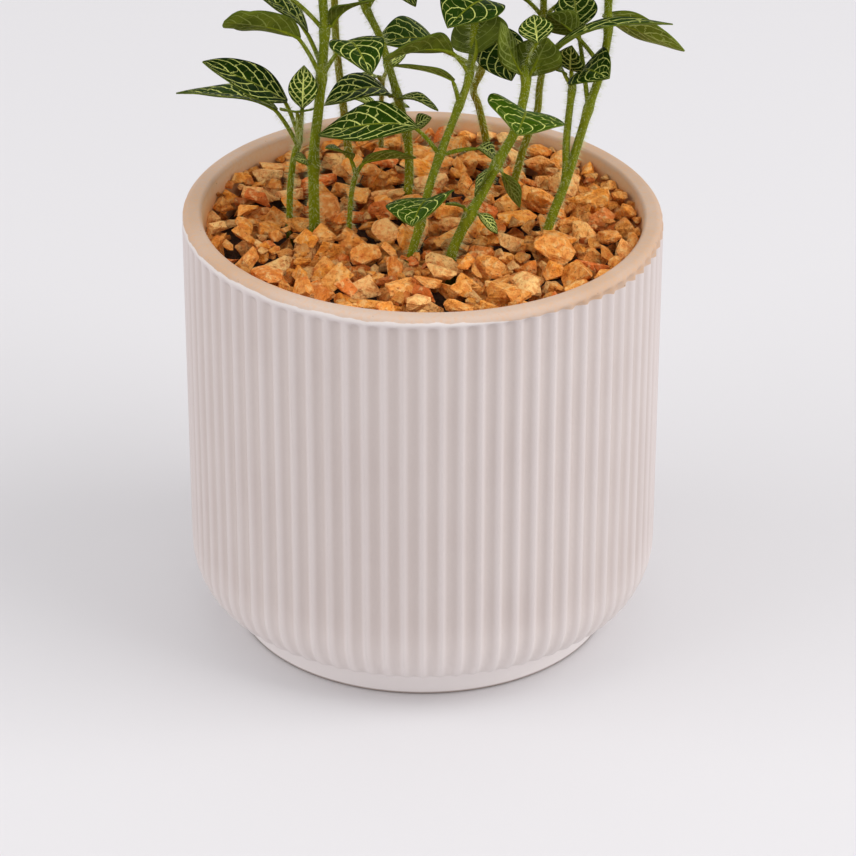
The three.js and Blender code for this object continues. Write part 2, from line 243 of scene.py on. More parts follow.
def makeVeinGroup(plan):
    group, given, result = newGroup("veinNet", ["share", "across", "seed", "size"], ["veins", "cushions"])
    share, across, seed, size = given[:4]

    def line(distance, half):
        return ease(distance, times(half, 0.5), times(half, 1.4), 1, 0)

    def joined(first, second, third):
        node = group.nodes.new("ShaderNodeCombineXYZ")
        for socket, value in zip(node.inputs, (first, second, third)):
            plug(socket, value)
        return node.outputs[0]

    # A gentle wander, so that no vein is drawn with a ruler
    spot = joined(share, times(across, 0.5), times(seed, 40))
    wander = minus(noiseAt(spot, 6, 2), 0.5)
    aside = calc("ABSOLUTE", across)
    outward = calc("MAXIMUM", plus(aside, times(wander, plan["wander"])), 0)
    farSide = calc("GREATER_THAN", across, 0)

    # Phase counts the side veins, and the slope of their arch keeps them of one width
    arch = times(calc("POWER", outward, plan["archPower"]), plan["arch"])
    arch = plus(arch, times(outward, plan["lean"]))
    phase = minus(plus(share, times(wander, 0.05)), arch)
    phase = plus(times(phase, plan["sideVeins"]), times(farSide, plan["sideOffset"]))
    phase = plus(phase, seed)
    fromSide = calc("ABSOLUTE", minus(calc("FRACT", phase), 0.5))
    slope = calc("POWER", outward, plan["archPower"] - 1)
    slope = plus(times(slope, plan["arch"] * plan["archPower"]), plan["lean"])
    slope = times(slope, plan["slender"])
    widening = calc("SQRT", plus(times(slope, slope), 1))
    thinning = times(minus(1, times(outward, 0.35)), size)
    side = line(fromSide, times(times(thinning, widening), plan["sideHalf"]))
    ribHalf = times(minus(1.15, times(share, 0.55)), size)
    midrib = line(aside, times(ribHalf, plan["midribHalf"]))

    # Each gap between two side veins has its own rungs, and some of the rungs are missing
    gap = plus(calc("FLOOR", plus(phase, 0.5)), times(farSide, 31))
    rungs = plus(times(outward, plan["ladderSlant"]), share)
    rungs = plus(times(rungs, plan["ladder"]), times(gap, 0.37))
    rungs = plus(rungs, times(wander, plan["ladderBend"]))
    fromRung = calc("ABSOLUTE", minus(calc("FRACT", rungs), 0.5))
    chance = group.nodes.new("ShaderNodeTexWhiteNoise")
    chance.noise_dimensions = "3D"
    plug(chance.inputs["Vector"], joined(gap, calc("FLOOR", rungs), times(seed, 17)))
    fewest, added = plan["ladderShare"]
    shown = calc("LESS_THAN", chance.outputs["Value"], plus(fewest, times(size, added)))
    ladder = line(fromRung, times(size, plan["ladderHalf"]))
    ladder = times(times(ladder, shown), ease(share, *plan["ladderFade"], 0.75, 0))

    net = calc("MAXIMUM", calc("MAXIMUM", midrib, side), ladder)
    rim = ease(aside, *plan["rimFade"], 1, 0)
    plug(result["veins"], times(net, rim))
    dome = times(calc("SINE", times(fromSide, pi)), ease(outward, 0, 0.25))
    plug(result["cushions"], minus(1, dome))
    return group


def veinArch(across):
    outward = abs(across)
    return veinPlan["lean"] * outward + veinPlan["arch"] * outward ** veinPlan["archPower"]


mottleGroup = makeMottleGroup()
veinGroup = makeVeinGroup(veinPlan)


def mottle(tree, scales):
    return useGroup(tree, mottleGroup, place=objectPlace(tree), patchScale=scales[0], grainScale=scales[1])


# Pot: stoneware with a warm grey glaze, bare clay on the lip and inside
potFinish = {
    # The groove colour is darker than the crest: painted shade in the rib grooves, and also the colour of the
    # glaze's streaks
    "crest": (0.67, 0.595, 0.575, 1),
    "groove": (0.58, 0.50, 0.47, 1),
    # Painted highlight: a pale band at the top edge of the glaze, on the rounded lip. The same colour also
    # pales the glaze and clay in patches and the clay towards the front
    "paleTintAndLipHighlight": (0.74, 0.68, 0.65, 1),
    # Painted bounce light: the glaze is very pale on the foot band and turns paler towards the bottom of the
    # wall
    "paintedBounceLight": (0.95, 0.89, 0.87, 1),
    "clay": (0.55, 0.375, 0.26, 1),
    # Painted light inside the mouth: paler, warmer clay on the upper inner wall, then painted orange bounce
    # light from the stones further down. The deeper colour also gives the clay's grain and blotches
    "paintedLitWallClay": (0.70, 0.47, 0.26, 1),
    "clayGrainAndStoneBounce": (0.74, 0.37, 0.13, 1),
    "speck": (0.20, 0.12, 0.08, 1),
    "zoneFoot": 120 * mm,
    "zoneRise": 11.2 * mm,
    "glazeTop": 129.9 * mm,
    "rightDrop": 2.9 * mm,
    "waver": 2 * mm,
    "lipHighlightFoot": 128.9 * mm,
    "dropSpan": (5 * mm, 62 * mm),
    "footTop": 8.2 * mm,
    "bounceLightTop": 34 * mm,
    "standRing": (0.5 * mm, 1.1 * mm),
    "paleFront": (-68 * mm, -48 * mm),
    "streakScale": (420, 420, 14),
    "mottle": (38, 900),
}


def makePotMaterial(finish):
    material, tree, surface = newMaterial("glazedStoneware")
    place = objectPlace(tree)
    spot = parted(place)
    grooves, upWall, inner = tintOf(tree, "potZones")
    tone = mottle(tree, finish["mottle"])

    # How high up the wall a spot is, with a waver for the edges of the glaze
    waver = times(minus(noiseAt(place, 160), 0.5), finish["waver"])
    edge = plus(plus(finish["zoneFoot"], times(upWall, finish["zoneRise"])), waver)

    streak = noiseAt(stretched(place, finish["streakScale"]), 1)
    lipHighlightFoot, footTop = finish["lipHighlightFoot"], finish["footTop"]
    # Painted bounce light from below: paler glaze low on the wall, palest on the foot band
    lowest = ease(spot["Z"], footTop, finish["bounceLightTop"], 0.4, 0)
    foot = ease(spot["Z"], footTop - 0.5 * mm, footTop + 0.5 * mm, 0.85, 0)
    glaze = layered(
        finish, finish["crest"],
        # Painted shade: the glaze darkens towards the bottom of each rib groove
        (ease(grooves, 0.2, 0.8), "groove"),
        (ease(streak, 0.45, 0.75, 0, 0.35), "groove"),
        (times(tone["patches"], 0.12), "paleTintAndLipHighlight"),
        # Painted highlight: a pale band where the glaze meets the rounded lip
        (ease(edge, lipHighlightFoot - 0.3 * mm, lipHighlightFoot + 0.5 * mm, 0, 0.9), "paleTintAndLipHighlight"),
        (calc("MAXIMUM", lowest, foot), "paintedBounceLight"),
        (ease(spot["Z"], *finish["standRing"], 0.75, 0), "speck"),
    )
    clay = layered(
        finish, finish["clay"],
        # Painted light inside the mouth: paler clay just below the lip, then painted orange bounce light from
        # the stones
        (ease(inner, 0, 0.3), "paintedLitWallClay"),
        (ease(inner, 0.4, 1), "clayGrainAndStoneBounce"),
        (ease(spot["Y"], *finish["paleFront"], 0.3, 0), "paleTintAndLipHighlight"),
        (times(tone["patches"], 0.2), "paleTintAndLipHighlight"),
        (times(tone["grain"], 0.16), "clayGrainAndStoneBounce"),
        (ease(noiseAt(place, 900, 4), 0.5, 0.66, 0, 0.14), "clayGrainAndStoneBounce"),
        (ease(noiseAt(place, 620, 2), 0.73, 0.79, 0, 0.6), "speck"),
    )

    drop = ease(spot["X"], *finish["dropSpan"], 0, finish["rightDrop"])
    aboveGlaze = plus(minus(edge, finish["glazeTop"]), drop)
    unglazed = ease(aboveGlaze, -0.1 * mm, 0.15 * mm)
    colour = blendColour(unglazed, glaze, clay)
    roughness = plus(0.5, times(unglazed, 0.3))
    relief = minus(times(tone["grain"], 0.25), unglazed)
    relief = plus(relief, times(tone["patches"], 0.3))
    finishSurface(surface, colour, roughness, 0.4, relief, 0.5, 0.15 * mm)
    return material


# Soil: dark and crumbly
soilFinish = {"dark": (0.035, 0.018, 0.009, 1), "light": (0.14, 0.07, 0.035, 1), "mottle": (260, 1400)}


def makeSoilMaterial(finish):
    material, tree, surface = newMaterial("pottingSoil")
    tone = mottle(tree, finish["mottle"])
    colour = blendColour(tone["patches"], finish["dark"], finish["light"])
    relief = plus(tone["patches"], tone["grain"])
    finishSurface(surface, colour, 0.95, 0.5, relief, 1, 0.8 * mm)
    return material


# Crushed stone: ochre, with cream, rust-red and brown chips among them
stoneFinish = {
    "ochre": (1, 0.35, 0.032, 1),
    "cream": (1, 0.64, 0.25, 1),
    "rust": (0.74, 0.15, 0.03, 1),
    "deep": (0.62, 0.14, 0.008, 1),
    "brown": (0.24, 0.065, 0.01, 1),
    "mottle": (230, 1500),
}


def makeStoneMaterial(finish):
    material, tree, surface = newMaterial("crushedStone")
    place = objectPlace(tree)
    creamShare, rustShare, toneAndGapShade = tintOf(tree, "stoneTint")
    tone = mottle(tree, finish["mottle"])
    worn = noiseAt(place, 520, 6)
    seams = noiseAt(stretched(place, (1, 1, 2.4)), 420, 5)
    pits = ease(noiseAt(place, 950), 0.62, 0.72, 0, 0.5)
    colour = layered(
        finish, finish["ochre"],
        (times(tone["patches"], 0.3), "cream"),
        (times(creamShare, 0.85), "cream"),
        (rustShare, "rust"),
        (ease(worn, 0.38, 0.50, 0.5, 0), "deep"),
        (ease(worn, 0.52, 0.66, 0, 0.6), "cream"),
        (ease(seams, 0.56, 0.68, 0, 0.45), "rust"),
        (pits, "brown"),
    )
    # Darkening for each chip: random tone, plus painted shade on the filler chips in the gaps
    dim = plus(0.66, times(toneAndGapShade, 0.52))
    grey = tree.nodes.new("ShaderNodeCombineColor")
    for socket in grey.inputs[:3]:
        plug(socket, dim)
    colour = blendColour(1, colour, grey.outputs[0], "MULTIPLY")
    relief = plus(times(worn, 2.6), times(tone["grain"], 0.3))
    relief = minus(relief, times(pits, 0.35))
    finishSurface(surface, colour, 0.75, 0.15, relief, 1, mm)
    return material


# Leaves: dark green above with cream veins, olive below, on fresh green stems with pale hairs
leafFinish = {
    "deep": (0.003, 0.015, 0.001, 1),
    "fresh": (0.055, 0.120, 0.002, 1),
    "vein": (0.70, 0.74, 0.20, 1),
    "underDeep": (0.050, 0.070, 0.002, 1),
    "underFresh": (0.165, 0.21, 0.016, 1),
    "underVein": (0.44, 0.50, 0.13, 1),
    "stem": (0.145, 0.182, 0.001, 1),
    "stemPale": (0.30, 0.33, 0.012, 1),
    "stemBrown": (0.22, 0.12, 0.006, 1),
    "hair": (0.66, 0.71, 0.36, 1),
    "upperMottle": (190, 2200),
    "underMottle": (170, 2000),
    "stemMottle": (150, 1800),
    "stemStreak": (900, 900, 60),
}


def leafVeins(tree):
    uv = tree.nodes.new("ShaderNodeUVMap")
    uv.uv_map = "leafUv"
    flat = parted(uv.outputs[0])
    seed, fresh, size = tintOf(tree, "leafTint")
    across = minus(times(flat["Y"], 2), 1)
    return useGroup(tree, veinGroup, share=flat["X"], across=across, seed=seed, size=size), fresh


def makeUpperMaterial(finish):
    material, tree, surface = newMaterial("leafUpper")
    net, freshLeaf = leafVeins(tree)
    tone = mottle(tree, finish["upperMottle"])
    colour = layered(
        finish, finish["deep"],
        (plus(times(tone["patches"], 0.16), times(freshLeaf, 0.85)), "fresh"),
        (times(net["cushions"], 0.14), "fresh"),
        (net["veins"], "vein"),
    )
    roughness = plus(0.45, times(net["veins"], 0.15))
    relief = minus(times(tone["grain"], 0.15), net["veins"])
    relief = minus(relief, times(net["cushions"], 0.7))
    finishSurface(surface, colour, roughness, 0.05, relief, 0.7, 0.22 * mm)
    return material


def makeUnderMaterial(finish):
    material, tree, surface = newMaterial("leafUnder")
    net, freshLeaf = leafVeins(tree)
    tone = mottle(tree, finish["underMottle"])
    paleShare = plus(0.18, times(freshLeaf, 0.8))
    colour = layered(
        finish, finish["underDeep"],
        (plus(times(tone["patches"], 0.5), times(freshLeaf, 0.5)), "underFresh"),
        (times(net["veins"], paleShare), "underVein"),
    )
    relief = plus(times(tone["grain"], 0.3), net["veins"])
    finishSurface(surface, colour, 0.62, 0.12, relief, 0.6, 0.2 * mm)
    return material


def makeStemMaterial(finish):
    material, tree, surface = newMaterial("stemSkin")
    brownShare = tintOf(tree, "leafTint")[2]
    tone = mottle(tree, finish["stemMottle"])
    along = noiseAt(stretched(objectPlace(tree), finish["stemStreak"]), 1)
    colour = layered(
        finish, finish["stem"],
        (ease(along, 0.4, 0.75, 0, 0.6), "stemPale"),
        (times(brownShare, ease(tone["patches"], 0.1, 0.9, 0.35, 0.9)), "stemBrown"),
    )
    relief = plus(along, times(tone["grain"], 0.4))
    finishSurface(surface, colour, 0.5, 0.15, relief, 0.5, 0.15 * mm)
    return material


def makeHairMaterial(finish):
    material, tree, surface = newMaterial("stemHair")
    tone = noiseAt(objectPlace(tree), 300, 2)
    paler = blendColour(tone, finish["hair"], finish["underVein"])
    plug(surface.inputs["Base Color"], blendColour(0.35, finish["hair"], paler))
    surface.inputs["Roughness"].default_value = 0.45
    return material


potMaterial = makePotMaterial(potFinish)
soilMaterial = makeSoilMaterial(soilFinish)
stoneMaterial = makeStoneMaterial(stoneFinish)
plantMaterials = [
    makeStemMaterial(leafFinish), makeUpperMaterial(leafFinish),
    makeUnderMaterial(leafFinish), makeHairMaterial(leafFinish),
]
stemSlot, upperSlot, underSlot, hairSlot = range(4)
print("materials made")


def clamped(value, low=0, high=1):
    return min(max(value, low), high)


def vertsIn(geom):
    return [g for g in geom if isinstance(g, bmesh.types.BMVert)]


def meshFrom(bm, name):
    mesh = bpy.data.meshes.new(name)
    bm.to_mesh(mesh)
    bm.free()
    return mesh


# A finished piece, from a shape in millimetres: it rides on the body, takes its finish from the
# slot and replaces a node
def makePiece(name, bm, materials, node):
    bmesh.ops.scale(bm, vec=(mm, mm, mm), verts=bm.verts)
    mesh = meshFrom(bm, name)
    for material in materials:
        mesh.materials.append(material)
    piece = newObject(name, mesh)
    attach(piece, "root")
    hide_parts(node)


# Pot, in millimetres: the same sizes as the solid, with rounder ribs, lip and foot
potShape = {
    "height": 131.2,
    "rimRadius": 70,
    "wallFootRadius": 69.3,
    "cornerHeight": 24.7,
    "cornerFootRadius": 57.6,
    "cornerLift": 0.2,
    "footHeight": 8.4,
    "footTopRadius": 56,
    "footRadius": 55.4,
    "footRound": 0.7,
    "footLedge": (0.3, 0.5),
    "ribCount": 78,
    "ribColumns": 10,
    "ribDepth": 1.25,
    "crestNarrow": 1.35,
    "ribTop": 129,
    "straightTop": 3,
    "ribEndRound": 1.8,
    "ribFade": 0.55,
    "lipRadius": 64.2,
    "mouthRadius": 65.4,
    "lipRound": 2.2,
    "mouthRound": 1.5,
    "lipFlat": 1,
    "rimLean": (-0.0137, -0.0073),
    "zoneFoot": 120,
    "clayDepth": 6,
    "bore": [(63.9, 127.2), (63.5, 124.2), (63.5, 60), (62, 21), (58, 12), (55, 9)],  # radius, height
}


# A quarter turn in steps, as pairs of sine and 1 - cosine
def quarterTurn(steps, first=0):
    turns = [k / steps * pi / 2 for k in range(first, steps + 1)]
    return [(sin(turn), 1 - cos(turn)) for turn in turns]


# Outer and inner outline, as rows of (radius, height) from the foot up and back down to the floor
def potProfile(shape):
    height, ribTop, rim = shape["height"], shape["ribTop"], shape["rimRadius"]
    ledgeOut, ledgeDown = shape["footLedge"]
    outer = [
        (shape["footRadius"] - shape["footRound"] * (1 - out), shape["footRound"] * up)
        for out, up in quarterTurn(3)
    ]
    outer += [
        (shape["footTopRadius"], shape["footHeight"] - ledgeDown),
        (shape["footTopRadius"] + ledgeOut, shape["footHeight"]),
    ]
    rise = shape["cornerHeight"] - shape["footHeight"] - shape["cornerLift"]
    spread = shape["wallFootRadius"] - shape["cornerFootRadius"]
    outer += [
        (shape["cornerFootRadius"] + spread * out, shape["cornerHeight"] - rise * (1 - up))
        for out, up in quarterTurn(12)
    ]
    wallTop = ribTop - shape["straightTop"]
    wallSteps, topSteps = 16, 5
    for k in range(1, wallSteps + 1):
        share = k / wallSteps
        outer.append((
            shape["wallFootRadius"] + (rim - shape["wallFootRadius"]) * share,
            shape["cornerHeight"] + (wallTop - shape["cornerHeight"]) * share,
        ))
    outer += [(rim, wallTop + k * shape["straightTop"] / topSteps) for k in range(1, topSteps + 1)]
    outer += [
        (rim - shape["lipRound"] * back, ribTop + (height - ribTop) * up)
        for up, back in quarterTurn(6, 1)
    ]
    inner = [(shape["mouthRadius"] + shape["lipFlat"], height)]
    inner += [
        (shape["mouthRadius"] - (shape["mouthRadius"] - shape["lipRadius"]) * back,
         height - shape["mouthRound"] * down)
        for back, down in quarterTurn(5)
    ]
    return outer, inner + shape["bore"]


def ribShare(shape, height):
    fromFoot = (height - shape["footHeight"]) / (shape["cornerHeight"] - shape["footHeight"])
    foot = clamped(fromFoot / shape["ribFade"])
    top = clamped((shape["ribTop"] - height) / shape["ribEndRound"])
    return sqrt(foot * (2 - foot)) * sqrt(top * (2 - top))


def makePot(shape):
    bm = bmesh.new()
    zones = bm.verts.layers.float_color.new("potZones")  # groove, up the wall, inside, and 1 outside
    outer, inner = potProfile(shape)
    chain = []
    for radius, height in outer + inner:
        vert = bm.verts.new((0, -radius, height))
        isInner = (radius, height) in inner
        depth = (shape["height"] - height) / shape["clayDepth"]
        upWall = (height - shape["zoneFoot"]) / (shape["height"] - shape["zoneFoot"])
        vert[zones] = (
            0, 1 if isInner else max(upWall, 0),
            clamped(depth) if isInner else 0, float(not isInner),
        )
        chain.append(vert)
    edges = [bm.edges.new(pair) for pair in zip(chain, chain[1:])]
    steps = shape["ribCount"] * shape["ribColumns"]
    bmesh.ops.spin(
        bm, geom=chain + edges, axis=(0, 0, 1), cent=(0, 0, 0),
        angle=2 * pi, steps=steps, use_merge=False,
    )
    bmesh.ops.remove_doubles(bm, verts=bm.verts, dist=0.01)
    for height in (outer[0][1], inner[-1][1]):
        loop = [e for e in bm.edges if e.is_boundary and abs(e.verts[0].co.z - height) < 0.01]
        bmesh.ops.edgeloop_fill(bm, edges=loop)
    leanX, leanY = shape["rimLean"]
    for vert in bm.verts:
        high = clamped(vert.co.z / shape["height"] * 2 - 1)
        vert.co.z += (leanX * vert.co.x + leanY * vert.co.y) * high * high * (3 - 2 * high)
        if vert[zones][3] < 0.5:  # inside
            continue
        radius = hypot(vert.co.x, vert.co.y)
        turn = atan2(vert.co.x, -vert.co.y)
        groove = abs(sin(shape["ribCount"] * turn / 2)) ** shape["crestNarrow"]
        share = ribShare(shape, vert.co.z) if radius > shape["footTopRadius"] + 0.5 else 0
        pressed = groove * share
        vert[zones] = (pressed, vert[zones][1], vert[zones][2], 1)
        scale = (radius - pressed * shape["ribDepth"]) / radius
        vert.co.x *= scale
        vert.co.y *= scale
    for face in bm.faces:
        face.smooth = len(face.verts) < 5
    bmesh.ops.recalc_face_normals(bm, faces=bm.faces)
    makePiece("ribbedPot", bm, [potMaterial], "pot")


makePot(potShape)
print("pot made")

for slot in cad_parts["soil"].material_slots:
    slot.material = soilMaterial


# A point on a smooth line through points, as a centripetal Catmull-Rom curve
def curvePoint(points, at):
    last = len(points) - 1
    k = min(int(at), last - 1)
    weight = at - k
    p1, p2 = points[k], points[k + 1]
    p0 = points[k - 1] if k > 0 else 2 * p1 - p2
    p3 = points[k + 2] if k + 2 <= last else 2 * p2 - p1
    d0, d1, d2 = (sqrt((b - a).length) or 1 for a, b in ((p0, p1), (p1, p2), (p2, p3)))
    m1 = ((p1 - p0) / d0 - (p2 - p0) / (d0 + d1) + (p2 - p1) / d1) * d1
    m2 = ((p2 - p1) / d1 - (p3 - p1) / (d1 + d2) + (p3 - p2) / d2) * d1
    w2, w3 = weight ** 2, weight ** 3
    return (2 * w3 - 3 * w2 + 1) * p1 + (w3 - 2 * w2 + weight) * m1 + (3 * w2 - 2 * w3) * p2 + (w3 - w2) * m2


def evenPath(points, step):
    perSpan = 24
    fine = [curvePoint(points, k / perSpan) for k in range(perSpan * (len(points) - 1) + 1)]
    lengths = [0]
    for a, b in zip(fine, fine[1:]):
        lengths.append(lengths[-1] + (b - a).length)
    count = max(3, round(lengths[-1] / step))
    path = []
    k = 0
    for n in range(count + 1):
        target = lengths[-1] * n / count
        while k < len(fine) - 2 and lengths[k + 1] < target:
            k += 1
        span = lengths[k + 1] - lengths[k] or 1
        path.append(fine[k].lerp(fine[k + 1], clamped((target - lengths[k]) / span)))
    return path


# Frames that follow a path without twisting: each is (point, tangent, side, up)
def pathFrames(path):
    frames = []
    side = None
    for k, point in enumerate(path):
        ahead = path[min(k + 1, len(path) - 1)]
        behind = path[max(k - 1, 0)]
        tangent = (ahead - behind).normalized()
        guide = side if side else (Vector((1, 0, 0)) if abs(tangent.x) < 0.8 else Vector((0, 1, 0)))
        side = (guide - guide.dot(tangent) * tangent).normalized()
        frames.append((point, tangent, side, tangent.cross(side)))
    return frames


def frameMatrix(entry, radius):
    point, tangent, side, up = entry
    matrix = Matrix((side * radius, up * radius, tangent * radius)).transposed().to_4x4()
    matrix.translation = point
    return matrix


def newPlantMesh():
    bm = bmesh.new()
    bm.loops.layers.uv.new("leafUv")
    bm.verts.layers.float_color.new("leafTint")
    return bm


# A closed round tube along a path: a ring drawn out step by step
def growTube(path, radii, sides, tint, slot):
    bm = newPlantMesh()
    layer = bm.verts.layers.float_color["leafTint"]
    frames = pathFrames(path)
    bmesh.ops.create_circle(bm, segments=sides, radius=1, matrix=frameMatrix(frames[0], radii[0]))
    ring = list(bm.edges)
    bmesh.ops.edgeloop_fill(bm, edges=ring)
    for k in range(1, len(frames)):
        grown = bmesh.ops.extrude_edge_only(bm, edges=ring)["geom"]
        ring = [e for e in grown if isinstance(e, bmesh.types.BMEdge)]
        move = frameMatrix(frames[k], radii[k]) @ frameMatrix(frames[k - 1], radii[k - 1]).inverted()
        bmesh.ops.transform(bm, matrix=move, verts=vertsIn(grown))
    bmesh.ops.edgeloop_fill(bm, edges=ring)
    bmesh.ops.recalc_face_normals(bm, faces=bm.faces)
    for vert in bm.verts:
        vert[layer] = tint
    for face in bm.faces:
        face.smooth = True
        face.material_index = slot
    return bm


def pour(target, source):
    carrier = bpy.data.meshes.new("carrier")
    source.to_mesh(carrier)
    source.free()
    target.from_mesh(carrier)
    bpy.data.meshes.remove(carrier)


# Leaf blade, in millimetres and shares of its length and width
bladeShape = {
    "rows": 26,
    "columns": 10,
    "thickness": 0.42,
    "crowding": 1.2,
    "fold": 0.16,
    "foldBend": 1.3,
    "edgeWave": 0.03,
    "waves": 1.3,
    "halfShift": 1.9,
    "quilt": 0.016,
    "quiltRise": 4,
    "midribSink": 0.03,
    "midribWidth": 0.12,
    "tipHalf": 0.12,
    "stalkHalf": 0.55,
    "bowSkew": 0.8,
    "widestSkew": 0.85,
    "fullness": 0.9,
    "bluntEnd": 0.1,
}


def bladeCentre(leaf, share):
    bow = leaf["bow"] * sin(pi * share ** bladeShape["bowSkew"]) if 0 < share < 1 else 0
    return leaf["base"].lerp(leaf["tip"], share) + leaf["up"] * bow


def bladeHalf(leaf, shape, share):
    outline = sin(pi * share ** shape["widestSkew"]) if 0 < share < 1 else 0
    least = shape["stalkHalf"] + (shape["tipHalf"] - shape["stalkHalf"]) * share
    full = leaf["fullTip"] * sqrt(clamped((1 - share) / shape["bluntEnd"])) if share > 0.5 else 0
    return max(0.5 * leaf["width"] * max(max(outline, 0) ** shape["fullness"], full), least)


def makeBlade(leaf, shape, tint):
    bm = newPlantMesh()
    uvLayer = bm.loops.layers.uv["leafUv"]
    tintLayer = bm.verts.layers.float_color["leafTint"]
    bmesh.ops.create_grid(bm, x_segments=shape["rows"], y_segments=shape["columns"], size=1)
    for face in bm.faces:
        for loop in face.loops:
            x, y = loop.vert.co.x, loop.vert.co.y
            across = copysign(abs(y) ** shape["crowding"], y)
            loop[uvLayer].uv = ((x + 1) / 2, (across + 1) / 2)
    phase = tint[0] * 2 * pi
    for vert in bm.verts:
        share = (vert.co.x + 1) / 2
        across = copysign(abs(vert.co.y) ** shape["crowding"], vert.co.y)
        half = bladeHalf(leaf, shape, share)
        middle = sin(pi * share)
        wave = shape["edgeWave"] * leaf["width"] * middle * across ** 2
        shift, offset = (shape["halfShift"], veinPlan["sideOffset"]) if across > 0 else (0, 0)
        wave *= sin(2 * pi * shape["waves"] * share + phase + shift)
        cell = (share - veinArch(across)) * veinPlan["sideVeins"] + offset + tint[0]
        quilt = shape["quilt"] * leaf["width"] * middle * cos(2 * pi * cell)
        quilt *= clamped(abs(across) * shape["quiltRise"]) * (1 - across ** 4)
        sink = shape["midribSink"] * leaf["width"] * middle * exp(-(across / shape["midribWidth"]) ** 2)
        folded = shape["fold"] * half * abs(across) ** shape["foldBend"]
        lift = folded + wave + quilt - sink - shape["thickness"] / 2
        turn = leaf["turned"] * share ** 2
        side = leaf["side"] * cos(turn) - leaf["up"] * sin(turn)
        vert.co = bladeCentre(leaf, share) + side * (across * half) + leaf["up"] * lift
        vert[tintLayer] = tint
    lower = list(bm.faces)
    raised = bmesh.ops.extrude_face_region(bm, geom=lower, use_keep_orig=True)["geom"]
    topVerts = vertsIn(raised)
    bmesh.ops.translate(bm, vec=leaf["up"] * shape["thickness"], verts=topVerts)
    topSet = set(topVerts)
    for face in bm.faces:
        face.smooth = True
        face.material_index = upperSlot if all(v in topSet for v in face.verts) else underSlot
    bmesh.ops.recalc_face_normals(bm, faces=bm.faces)
    return bm


# Stalk and midrib: one tapering tube from the stem to near the blade's tip, under the blade
stalkShape = {
    "radius": 0.72,
    "neck": 0.58,
    "end": 0.14,
    "sides": 8,
    "step": 1.6,
    "arch": 0.1,
    "onBlade": (0.03, 0.92),
    "underStart": 0.3,
    "underBlade": (0.12, 0.62),
    "bladeSteps": 10,
    "taper": 0.7,
    "fullWidth": 12,
}


def stalkPath(root, leaf, shape):
    reach = (leaf["base"] - root).length
    bend = root.lerp(leaf["base"], 0.5) + zUp * shape["arch"] * reach
    points, radii = [], []
    first, last = shape["onBlade"]
    start = bladeCentre(leaf, first) - leaf["up"] * shape["underStart"]
    neckCount = max(5, round(reach / shape["step"]))
    for k in range(neckCount):
        share = k / neckCount
        points.append(root.lerp(bend, share).lerp(bend.lerp(start, share), share))
        radii.append(shape["radius"] + (shape["neck"] - shape["radius"]) * share)
    gap, sunk = shape["underBlade"]
    for k in range(shape["bladeSteps"] + 1):
        share = k / shape["bladeSteps"]
        radius = shape["neck"] + (shape["end"] - shape["neck"]) * share ** shape["taper"]
        radius *= min(1, leaf["width"] / shape["fullWidth"])
        points.append(bladeCentre(leaf, first + (last - first) * share) - leaf["up"] * (gap + sunk * radius))
        radii.append(radius)
    return points, radii, neckCount


# Hairs: short pale spikes, denser on the stems than on the stalks
hairShape = {
    "length": (0.9, 2.3),
    "halfWidth": 0.044,
    "sides": 3,
    "sunk": 0.12,
    "leanAlong": (-0.3, 0.14),
    "leanAside": (-0.14, 0.14),
    "perStemMm": 20,
    "perStalkMm": 11,
}


def makeHairMesh(shape):
    bm = newPlantMesh()
    bmesh.ops.create_cone(
        bm, cap_ends=True, segments=shape["sides"], radius1=1, radius2=0, depth=1,
        matrix=Matrix.Translation((0, 0, 0.5)),
    )
    bmesh.ops.remove_doubles(bm, verts=bm.verts, dist=1e-5)
    for face in bm.faces:
        face.material_index = hairSlot
    return meshFrom(bm, "hair")


hairMesh = makeHairMesh(hairShape)


def plantHairs(bm, path, radii, density, rng):
    frames = pathFrames(path)
    for k in range(len(frames) - 1):
        point, tangent, side, up = frames[k]
        step = path[k + 1] - point
        count = density * step.length
        for _ in range(int(count) + (rng.random() < count % 1)):
            share, turn = rng.random(), rng.uniform(0, 2 * pi)
            out = side * cos(turn) + up * sin(turn)
            radius = radii[k] + (radii[k + 1] - radii[k]) * share
            foot = point + step * share + out * (radius - hairShape["sunk"])
            length = rng.uniform(*hairShape["length"])
            lean = out + tangent * rng.uniform(*hairShape["leanAlong"])
            lean += side * rng.uniform(*hairShape["leanAside"])
            place = lean.to_track_quat("Z", "X").to_matrix().to_4x4()
            place.translation = foot
            width = hairShape["halfWidth"]
            place = place @ Matrix.Diagonal((width, width, length, 1))
            hairMesh.transform(place)
            bm.from_mesh(hairMesh)
            hairMesh.transform(place.inverted())


